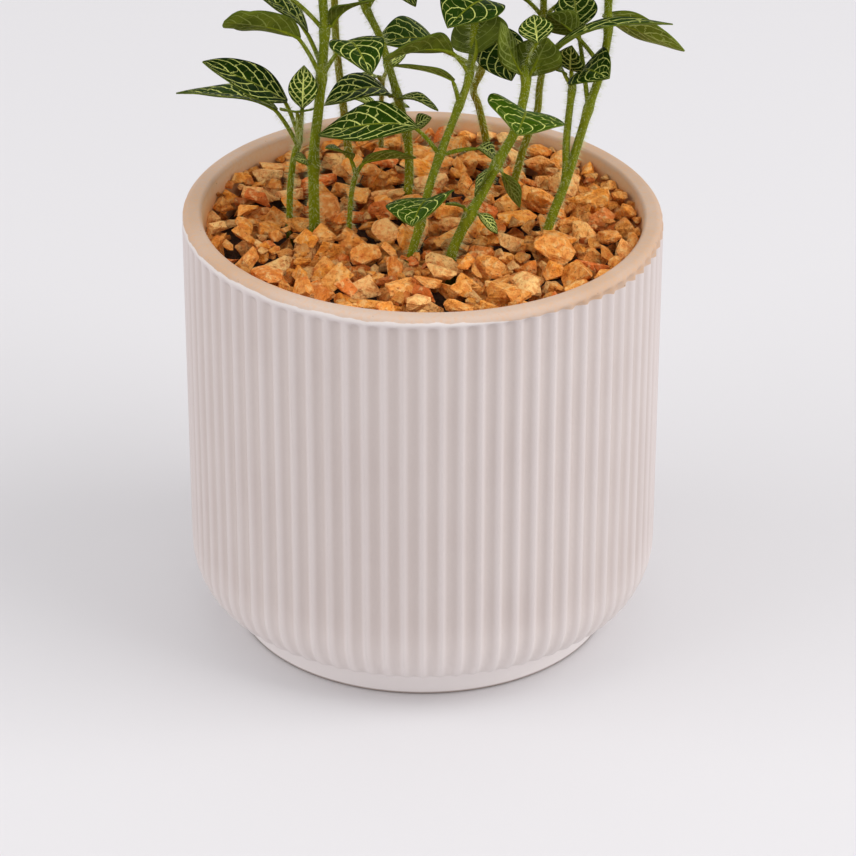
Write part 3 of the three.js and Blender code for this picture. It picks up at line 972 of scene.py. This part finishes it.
# Leafy stems, in millimetres, as the solids have them. A shoot has its diameters at the foot and
# the top and the points that its stem passes. Its leaves are rows of: height on the stem, base of
# the blade, tip, width, the way the upper face looks, and bow. Its pairs are two leaves on
# opposite sides, as rows of: height on the stem, direction of the first leaf in degrees, and
# blade length.
leafyStems = {
    "leafyStem1": [{
        "thick": [2, 1.8],
        "route": [[-39, 6, 124], [-38.5, 6, 137], [-37, 5, 147.5], [-35.5, 4, 151]],
        "leaves": [
            [151, [-39, 0, 166], [-63, -2, 179.5], 14, [0, -0.3, 1], 1],
            [150, [-42, 4, 161.5], [-71.5, 12, 163], 13, [0, 0.18, 1], 2.5],
            [151, [-34.5, -5.5, 166.5], [-34, 0, 177.5], 8.5, [0, -1, 0.5], 1],
            [151, [-36, -4, 164.5], [-36, -14, 169.5], 10, [0, 0.48, 0.87], 0],
        ],
    }],
    "leafyStem2": [{
        "thick": [3.4, 2.2],
        "route": [
            [-31.5, -0.5, 124], [-31.5, 0, 149], [-30, 0, 163.5], [-29, 0, 174.5], [-28, 1, 189],
            [-28.5, 2, 197], [-29, 3, 215], [-31, 3, 242],
        ],
        "leaves": [
            [146, [-33.5, -2.5, 148], [-37, -6, 150.5], 5, [0, -0.6, 1], 0.5],
            [173, [-35, -3, 187.5], [-56, -14, 197.5], 14, [0, 1, 1], 1.5],
            [176, [-33, 4, 186], [-51.5, 8, 198.5], 13, [0, 0.1, 1], 2],
            [187, [-38.5, -2, 200.5], [-61.5, -8, 203], 14, [0, 0.2, 1], 2],
            [174, [-22, -6, 187.5], [-14.5, -28, 187.5], 15.5, [0, 0, 1], 3],
            [187, [-26, 0, 190], [-14, -4, 199.5], 13, [-0.2, 0.4, 1], 2],
        ],
        "pairs": [[205, 285, 30], [224, 15, 26], [241, 105, 14]],
    }],
    "leafyStem3": [{
        "thick": [1.6, 1.4],
        "route": [[-21.5, -1, 124], [-20.5, 0, 138], [-19, 0, 144]],
        "leaves": [
            [143, [-17.5, -1, 147], [-2, -4, 150], 9, [0, 0.9, 1], 1],
            [143, [-20.5, -2, 148.5], [-28, -8, 155], 8, [0, 0.1, 1], 1],
        ],
    }],
    "leafyStem4": [{
        "thick": [2.6, 1.8],
        "route": [
            [-22, 48, 124], [-22.5, 47, 130], [-23.5, 44, 142.5], [-25.5, 40, 166.5], [-26.5, 41, 198],
            [-29, 43, 218], [-30, 44, 232],
        ],
        "pairs": [[190, 20, 29], [212, 65, 24], [231, 20, 13]],
    }],
    "leafyStem5": [{
        "thick": [2.8, 1.8],
        "route": [
            [-4.5, 22, 124], [-4, 22, 133], [-4.5, 22, 144], [-7, 21, 156.5], [-10, 20, 168.5],
            [-12.5, 20, 177.5], [-16.5, 20, 186.5], [-20, 20, 196], [-22, 21, 212], [-21.5, 23, 228],
        ],
        "leaves": [
            [158, [-9, 19, 158.5], [-28.5, 6, 162], 14, [0.1, -0.1, 1], 4.5],
            [158, [-7.5, 18, 158.5], [4.5, 14, 156.5], 9, [0, 0.25, 1], 1.5],
            [146, [-2, 20, 148.5], [2.5, 20, 151.5], 6, [0, -0.3, 1], 0.5],
            [186, [-11, 18, 195.5], [-2, 12, 190.5], 12, [0, 0, 1], 2],
        ],
        "pairs": [[200, 160, 28], [215, 30, 23], [227, 160, 12]],
    }],
    "leafyStem6": [{
        "thick": [2.7, 1.8],
        "route": [
            [-3.5, -17, 124], [-1, -15, 133], [2, -12, 145], [5, -9, 153.5], [10, -6, 166.5],
            [13, -5, 175], [14.5, -2, 186], [15, 0, 197], [14, -1, 213], [15, -3, 230],
        ],
        "leaves": [
            [153, [-1.5, -11, 163], [-30, -7, 158.5], 15, [0, -0.35, 1], 3],
            [134, [3, -18, 143.5], [-3, -37, 144.5], 21, [-0.4, -0.2, 1], 2.5],
            [153, [15.5, -6, 154], [21.5, -5, 149], 7, [0, -0.2, 1], 1.5],
            [168, [9, -7, 176], [-9, -10, 182], 8, [0, 0.6, 1], 1],
            [176, [8.5, -8, 185.5], [-11, -20, 188.5], 17, [0, 0.9, 0.8], 2],
            [176, [15.5, -6, 184], [13.5, 2, 194.5], 20, [0.35, 1, 0.2], 1],
            [190, [19, 2, 196.5], [7, -15, 196], 20, [0.2, 0, 1], 3],
            [188, [20, 6, 187.5], [25.5, -1, 173], 15, [-0.5, -0.5, 1], 1],
        ],
        "pairs": [[206, 80, 28], [219, 170, 22], [229, 80, 12]],
    }],
    "leafyStem7": [{
        "thick": [3.3, 2.6],
        "route": [
            [8, -17, 124], [10, -16.5, 130], [13.5, -15, 137], [17.5, -12, 143.5], [21.5, -9, 151],
            [26.5, -7, 160], [28.5, -6, 168], [29.5, -5, 174], [29, -4, 181],
        ],
        "leaves": [
            [162, [29.5, -11, 168], [26.5, -36, 172.5], 23, [0.3, -0.1, 1], 2],
            [151, [23, -6, 146], [28, -8, 136], 6, [0.6, 0.8, 0.2], 0.5],
            [151, [19.5, -13, 151], [15, -17, 144], 8, [-1, -0.1, 0.3], 0.5],
            [136, [12, -17, 140.5], [6.5, -19, 142.5], 5, [0, 0.3, 1], 0.3],
            [137, [16, -14, 137], [21.5, -16, 131.5], 5, [0.5, -0.4, 1], 0.5],
            [180, [32.5, -12, 190], [31.5, -6, 196], 10, [0, -1, 0.5], 0.5],
            [176, [28, -6, 177.5], [22, -12, 196.5], 8, [-1, 0.5, 0.5], 1],
            [176, [30.5, -5, 176.5], [35.5, -10, 190.5], 14, [0.2, 1, 0.3], 0.5],
            [176, [33.5, -6, 179.5], [71, -6, 193], 12, [0, 0.25, 1], 6],
        ],
    }],
    "leafyStem8": [{
        "thick": [2.4, 1.8],
        "route": [
            [20, 50, 124], [19.5, 49, 127.5], [16.5, 46, 143.5], [15, 45, 148.5], [17.5, 44, 156.5],
            [18, 46, 175], [17, 48, 195], [15.5, 50, 212],
        ],
        "leaves": [[156, [5, 42, 163], [-13.5, 30, 171], 17, [0, -0.3, 1], 3.5]],
        "pairs": [[184, 100, 28], [200, 10, 22], [211, 100, 12]],
    }],
    "leafyStem9": [{
        "thick": [2.4, 1.8],
        "route": [
            [26, 23, 124], [28, 23, 133.5], [30, 22, 142], [33.5, 21, 153], [34, 21, 160], [35, 20, 170],
            [35, 22, 190], [36, 25, 208], [36, 27, 222],
        ],
        "pairs": [[182, 170, 28], [203, 75, 25], [221, 160, 14]],
    }],
    "leafyStem10": [{
        "thick": [3, 2],
        "route": [
            [35.5, -5, 124], [38, -3, 132], [41, 0, 139], [45.5, 2, 154], [48.5, 3, 165], [50.5, 4, 171],
            [53, 5, 184], [53, 5, 194], [54, 4, 212], [55, 2, 232],
        ],
        "leaves": [
            [188, [51.5, 9, 189], [75, 2, 181], 13, [0, 0.9, 0.7], 0.5],
            [163, [44.5, 8, 185.5], [43, 12, 197], 12.5, [0, -1, 0.5], 0.5],
            [175, [44, 5, 184.5], [35.5, 1, 193], 10, [0, 1, 0.3], 1],
        ],
        "pairs": [[198, 170, 27], [215, 80, 25], [231, 170, 14]],
    }, {
        "thick": [2.3, 2],
        "route": [[41, 0, 139], [41.5, 1, 144], [41.5, 2, 151.5], [42.5, 4, 163], [43.5, 6, 170.5]],
        "leaves": [
            [170, [45.5, 2, 174.5], [53, -12, 179], 15, [-0.35, -0.5, 1], 2],
            [168, [41, 4, 172.5], [35.5, 2, 176.5], 8, [0, -0.1, 1], 1],
            [168, [42.5, 2, 175], [42.5, -2, 184.5], 9, [-0.4, -1, 0.3], 0.5],
        ],
    }],
    "leafyStem11": [{
        "thick": [1.7, 1.4],
        "route": [[-12.5, 54, 124], [-12.5, 53, 138], [-12, 51, 150]],
        "pairs": [[138, 160, 8], [149, 60, 12]],
    }],
}


# Shares of the blade's length in a pair of leaves
pairShape = {"stalkOut": 0.175, "stalkUp": 0.2, "reach": 0.96, "rise": 0.2, "width": 0.5, "bow": 0.1}

stemShape = {
    "foot": 104.3,
    "straightFoot": 5,
    "sides": 12,
    "step": 1.6,
    "nodeSwell": 0.28,
    "nodeReach": 2.2,
    "topShares": (0.85, 0.45),
    "hairFoot": 121,
    "budFresh": 0.4,
    "freshLoss": 0.03,
    "freshSpread": (-0.1, 0.1),
    "stalkBrown": 0.5,
}

# How much brown each stem's skin has, and how fresh its leaves are
stemTone = {
    "leafyStem1": (0, 0.12), "leafyStem2": (0, 0.1), "leafyStem3": (0.15, 0.4), "leafyStem4": (0.6, 0.3),
    "leafyStem5": (0.1, 0.1), "leafyStem6": (0.05, 0.12), "leafyStem7": (0, 0.15), "leafyStem8": (0.5, 0.3),
    "leafyStem9": (0.3, 0.25), "leafyStem10": (0.05, 0.12), "leafyStem11": (0.6, 0.5),
}

# Leaves that differ from the rest of their stem, by the height at which they leave it: how fresh
# they are; how full the blade stays towards a blunt tip, and the degrees that it is turned there
ownFresh = {("leafyStem6", 134): 0.5, ("leafyStem7", 162): 0.6, ("leafyStem10", 188): 1}
ownTip = {("leafyStem2", 173): (0.62, -20)}


def makeLeaf(base, tip, width, face, bow, fullTip=0, turned=0):
    along = (tip - base).normalized()
    up = (face - face.dot(along) * along).normalized()
    return {
        "base": base, "tip": tip, "width": width, "bow": bow, "up": up, "side": up.cross(along),
        "fullTip": fullTip, "turned": radians(turned),
    }


def pairOf(root, heading, length):
    leaves = []
    for degrees in (heading, heading + 180):
        out = Vector((cos(radians(degrees)), sin(radians(degrees)), 0))
        base = root + (out * pairShape["stalkOut"] + zUp * pairShape["stalkUp"]) * length
        tip = base + (out * pairShape["reach"] + zUp * pairShape["rise"]) * length
        leaves.append(makeLeaf(base, tip, pairShape["width"] * length, zUp, pairShape["bow"] * length))
    return leaves


def makeLeafyStem(name, shoots):
    rng = random.Random(name)
    bm = newPlantMesh()
    brown, fresh = stemTone[name]
    for k, shoot in enumerate(shoots):
        route = [Vector(point) for point in shoot["route"]]
        if k == 0:
            foot = route[0]
            route.insert(0, foot - zUp * stemShape["straightFoot"])
            route.insert(0, Vector((foot.x, foot.y, stemShape["foot"])))
        path = evenPath(route, stemShape["step"])

        leaves = []
        for height, base, tip, width, face, bow in shoot.get("leaves", []):
            root = min(path, key=lambda point: abs(point.z - height))
            ownShape = ownTip.get((name, height), (0, 0))
            leaf = makeLeaf(Vector(base), Vector(tip), width, Vector(face), bow, *ownShape)
            leaves.append((root, leaf, ownFresh.get((name, height), fresh)))
        for height, heading, length in shoot.get("pairs", []):
            root = min(path, key=lambda point: abs(point.z - height))
            leaves += [(root, leaf, fresh) for leaf in pairOf(root, heading, length)]

        thickFoot, thickTop = shoot["thick"]
        radii = []
        for n, point in enumerate(path):
            share = n / (len(path) - 1)
            radius = (thickFoot + (thickTop - thickFoot) * share) / 2
            near = min(((root - point).length for root, _, _ in leaves), default=99)
            radius *= 1 + stemShape["nodeSwell"] * exp(-(near / stemShape["nodeReach"]) ** 2)
            radii.append(radius)
        for n, topShare in zip((-2, -1), stemShape["topShares"]):
            radii[n] *= topShare
        pour(bm, growTube(path, radii, stemShape["sides"], (rng.random(), fresh, brown, 1), stemSlot))
        low = sum(point.z <= stemShape["hairFoot"] for point in path)
        plantHairs(bm, path[low:], radii[low:], hairShape["perStemMm"], rng)

        for root, leaf, leafFresh in leaves:
            young = max(0, stemShape["budFresh"] - stemShape["freshLoss"] * leaf["width"])
            fresher = clamped(leafFresh + young + rng.uniform(*stemShape["freshSpread"]))
            tint = (rng.random(), fresher, brown * stemShape["stalkBrown"], 1)
            veinSize = clamped(veinPlan["sizeWidth"] / leaf["width"], veinPlan["leastSize"])
            pour(bm, makeBlade(leaf, bladeShape, (tint[0], fresher, veinSize, 1)))
            points, stalkRadii, neckCount = stalkPath(root, leaf, stalkShape)
            pour(bm, growTube(points, stalkRadii, stalkShape["sides"], tint, stemSlot))
            plantHairs(bm, points[:neckCount], stalkRadii[:neckCount], hairShape["perStalkMm"], rng)
    makePiece(name + "Foliage", bm, plantMaterials, name)


for stemName, stemShoots in leafyStems.items():
    makeLeafyStem(stemName, stemShoots)
print("leafy stems made")


# Crushed stone, in millimetres: chips are dropped one by one onto the lowest of a few spots, the
# large ones first and then small ones into the gaps
gravelPlan = {
    "seed": 7,
    "kinds": 18,
    "corners": (8, 13),
    "shape": (1, 0.7, 0.52),
    "floor": 116.6,
    "reach": 64.3,
    "spots": 36,
    "sink": 0.8,
    "stemRoom": 0.8,
    "tilt": (0.26, 0.22),
    "wide": (0.9, 1.15),
    "thick": (0.85, 1.15),
    "boxy": 0.45,
    "cornerReach": (0.42, 0.52),
    "flatAngle": 0.3,
    "bevel": 0.035,
    "merge": 0.004,
    "jitter": 0.016,
    "domeEdge": 0.05,
    "domePower": 0.35,
    "alongWall": (-0.2, 0.2),
    "offWall": (1, 1.2),
    "slack": 0.3,
}
# Each round has the lengths of its chips and the usual one, the height that they stay under, how
# much of the ground under a chip is lower than it rests, and the misses in a row that end it
gravelRounds = [
    {"size": (7, 13), "usual": 10, "top": 128.5, "settle": 0.8, "misses": 70, "byWall": 1, "pale": 0.4},
    {"size": (9, 18), "usual": 12.5, "top": 129.7, "settle": 0.85, "misses": 120, "byWall": 0.1, "pale": 0.5},
    # The small filler chips lie in the gaps and start at pale 0: painted shade between the stones
    {"size": (4, 9), "usual": 6, "top": 127.6, "settle": 0.55, "misses": 110, "byWall": 0.4, "pale": 0},
]


def makeChip(plan, rng):
    bm = bmesh.new()
    bm.verts.layers.float_color.new("stoneTint")
    for _ in range(rng.randint(*plan["corners"])):
        direction = Vector([rng.gauss(0, 1) for _ in range(3)]).normalized()
        boxy = direction / max(abs(c) for c in direction)
        corner = direction.lerp(boxy, plan["boxy"]) * rng.uniform(*plan["cornerReach"])
        bm.verts.new([c * s for c, s in zip(corner, plan["shape"])])
    hull = bmesh.ops.convex_hull(bm, input=bm.verts)
    bmesh.ops.delete(bm, geom=vertsIn(hull["geom_interior"]), context="VERTS")
    bmesh.ops.dissolve_limit(bm, angle_limit=plan["flatAngle"], verts=bm.verts, edges=bm.edges)
    bmesh.ops.bevel(
        bm, geom=bm.edges[:], offset=plan["bevel"], segments=1, profile=0.5, affect="EDGES",
        clamp_overlap=True, material=-1,
    )
    bmesh.ops.remove_doubles(bm, verts=bm.verts, dist=plan["merge"])
    for vert in bm.verts:
        vert.co += Vector([rng.uniform(-1, 1) * plan["jitter"] for _ in range(3)])
    bmesh.ops.recalc_face_normals(bm, faces=bm.faces)
    for face in bm.faces:
        face.smooth = False
    return meshFrom(bm, "chip")


# How cream, how rusty and how pale a stone is: a few are strongly cream or rusty. The paleness also varies at
# random, and the filler chips in the gaps start from 0, painted shade between the stones
stoneColours = {
    "creamBelow": 0.18,
    "rustAbove": 0.82,
    "strongCream": (0.5, 1),
    "faintCream": (0, 0.25),
    "strongRust": (0.4, 0.9),
    "faintRust": (0, 0.2),
    "shadeSpread": 0.5,
}


def chipTint(colours, pale, rng):
    pick = rng.random()
    cream = rng.uniform(*colours["strongCream" if pick < colours["creamBelow"] else "faintCream"])
    rust = rng.uniform(*colours["strongRust" if pick > colours["rustAbove"] else "faintRust"])
    return (cream, rust, pale + colours["shadeSpread"] * rng.random(), 1)


def makeGravel(plan, rounds):
    rng = random.Random(plan["seed"])
    chips = [makeChip(plan, rng) for _ in range(plan["kinds"])]
    stemFeet = [(shoots[0]["route"][0], shoots[0]["thick"][0] / 2) for shoots in leafyStems.values()]
    reach = ceil(plan["reach"]) + 1
    ground = [[plan["floor"]] * (2 * reach + 1) for _ in range(2 * reach + 1)]

    # Cells under a chip, with the half height of the chip over each
    def footprint(x, y, turn, half):
        cosTurn, sinTurn = cos(turn), sin(turn)
        span = ceil(half[0])
        for i in range(round(x) - span, round(x) + span + 1):
            for j in range(round(y) - span, round(y) + span + 1):
                dx, dy = i - x, j - y
                across = (dx * cosTurn + dy * sinTurn) / half[0]
                along = (dy * cosTurn - dx * sinTurn) / half[1]
                inside = 1 - across ** 2 - along ** 2
                if inside > plan["domeEdge"]:
                    yield i + reach, j + reach, half[2] * inside ** plan["domePower"]

    # The lowest of a few spots where the chip is inside the wall and clear of the stems
    def lowestSpot(byWall, settle, half):
        best = None
        for _ in range(plan["spots"]):
            radius = (plan["reach"] - half[1]) * sqrt(rng.random())
            if rng.random() < byWall:
                radius = plan["reach"] - half[1] * rng.uniform(*plan["offWall"])
            angle, turn = rng.uniform(0, 2 * pi), rng.uniform(0, pi)
            if radius > plan["reach"] - half[0]:
                turn = angle + pi / 2 + rng.uniform(*plan["alongWall"])
            x, y = radius * cos(angle), radius * sin(angle)
            ends = (half[0] * cos(turn), half[0] * sin(turn))
            span = max(hypot(x + ends[0], y + ends[1]), hypot(x - ends[0], y - ends[1]))
            if span > plan["reach"] + plan["slack"]:
                continue
            if any(hypot(x - f[0], y - f[1]) < r + plan["stemRoom"] * half[1] for f, r in stemFeet):
                continue
            levels = sorted(ground[i][j] + rise for i, j, rise in footprint(x, y, turn, half))
            rest = levels[int(settle * (len(levels) - 1))]
            if best is None or rest < best[0]:
                best = (rest, x, y, turn)
        return best

    def layChip(size, half, spot, pale):
        rest, x, y, turn = spot
        z = rest - (1 - plan["sink"]) * half[2]
        for i, j, rise in footprint(x, y, turn, half):
            ground[i][j] = max(ground[i][j], z + rise)
        place = Matrix.Translation((x, y, z)) @ Matrix.Rotation(turn, 4, "Z")
        for most, axis in zip(plan["tilt"], "XY"):
            place = place @ Matrix.Rotation(rng.gauss(0, most), 4, axis)
        wide, thick = size * rng.uniform(*plan["wide"]), size * rng.uniform(*plan["thick"])
        place = place @ Matrix.Diagonal((size, wide, thick, 1))
        chip = rng.choice(chips).copy()
        tint = chipTint(stoneColours, pale, rng)
        chip.attributes["stoneTint"].data.foreach_set("color", tint * len(chip.vertices))
        chip.transform(place)
        bm.from_mesh(chip)
        bpy.data.meshes.remove(chip)

    bm = bmesh.new()
    bm.verts.layers.float_color.new("stoneTint")
    count = 0
    for current in rounds:
        misses = 0
        while misses < current["misses"]:
            size = rng.triangular(*current["size"], current["usual"])
            half = [size * s / 2 for s in plan["shape"]]
            spot = lowestSpot(current["byWall"], current["settle"], half)
            if spot is None or spot[0] + half[2] / 2 > current["top"]:
                misses += 1
            else:
                misses = 0
                layChip(size, half, spot, current["pale"])
                count += 1
    print("gravel chips", count)
    makePiece("gravelChips", bm, [stoneMaterial], "gravel")


makeGravel(gravelPlan, gravelRounds)


# Floor and light
studio = {
    "floorSize": 4,
    "floorColour": (0.70, 0.69, 0.70, 1),
    "floorRoughness": 0.7,
    "world": (0.93, 0.92, 0.94, 1),
    "worldStrength": 0.82,
    "lampTarget": (0, 0, 0.1),
    "lamps": {  # place, width and power
        "keyLamp": ((1.3, -0.4, 1.35), 1.4, 18.5),
        "fillLamp": ((-1.3, -0.4, 1.25), 1.4, 9.5),
    },
}


def makeFloor(plan):
    bm = bmesh.new()
    bmesh.ops.create_grid(bm, x_segments=1, y_segments=1, size=plan["floorSize"])
    mesh = meshFrom(bm, "floor")
    material, _, surface = newMaterial("paleFloor")
    surface.inputs["Base Color"].default_value = plan["floorColour"]
    surface.inputs["Roughness"].default_value = plan["floorRoughness"]
    mesh.materials.append(material)
    newObject("floor", mesh)


def makeLamp(name, place, size, power):
    data = bpy.data.lights.new(name, "AREA")
    data.size = size
    data.energy = power
    lamp = newObject(name, data)
    lamp.location = place
    aim = Vector(studio["lampTarget"]) - Vector(place)
    lamp.rotation_euler = aim.to_track_quat("-Z", "Y").to_euler()


def makeWorld(plan):
    world = bpy.data.worlds.new("studio")
    world.use_nodes = True
    background = world.node_tree.nodes["Background"]
    background.inputs["Color"].default_value = plan["world"]
    background.inputs["Strength"].default_value = plan["worldStrength"]
    bpy.context.scene.world = world
    bpy.context.scene.view_settings.view_transform = "Standard"


makeFloor(studio)
for lampName, (place, size, power) in studio["lamps"].items():
    makeLamp(lampName, place, size, power)
makeWorld(studio)
print("studio made")
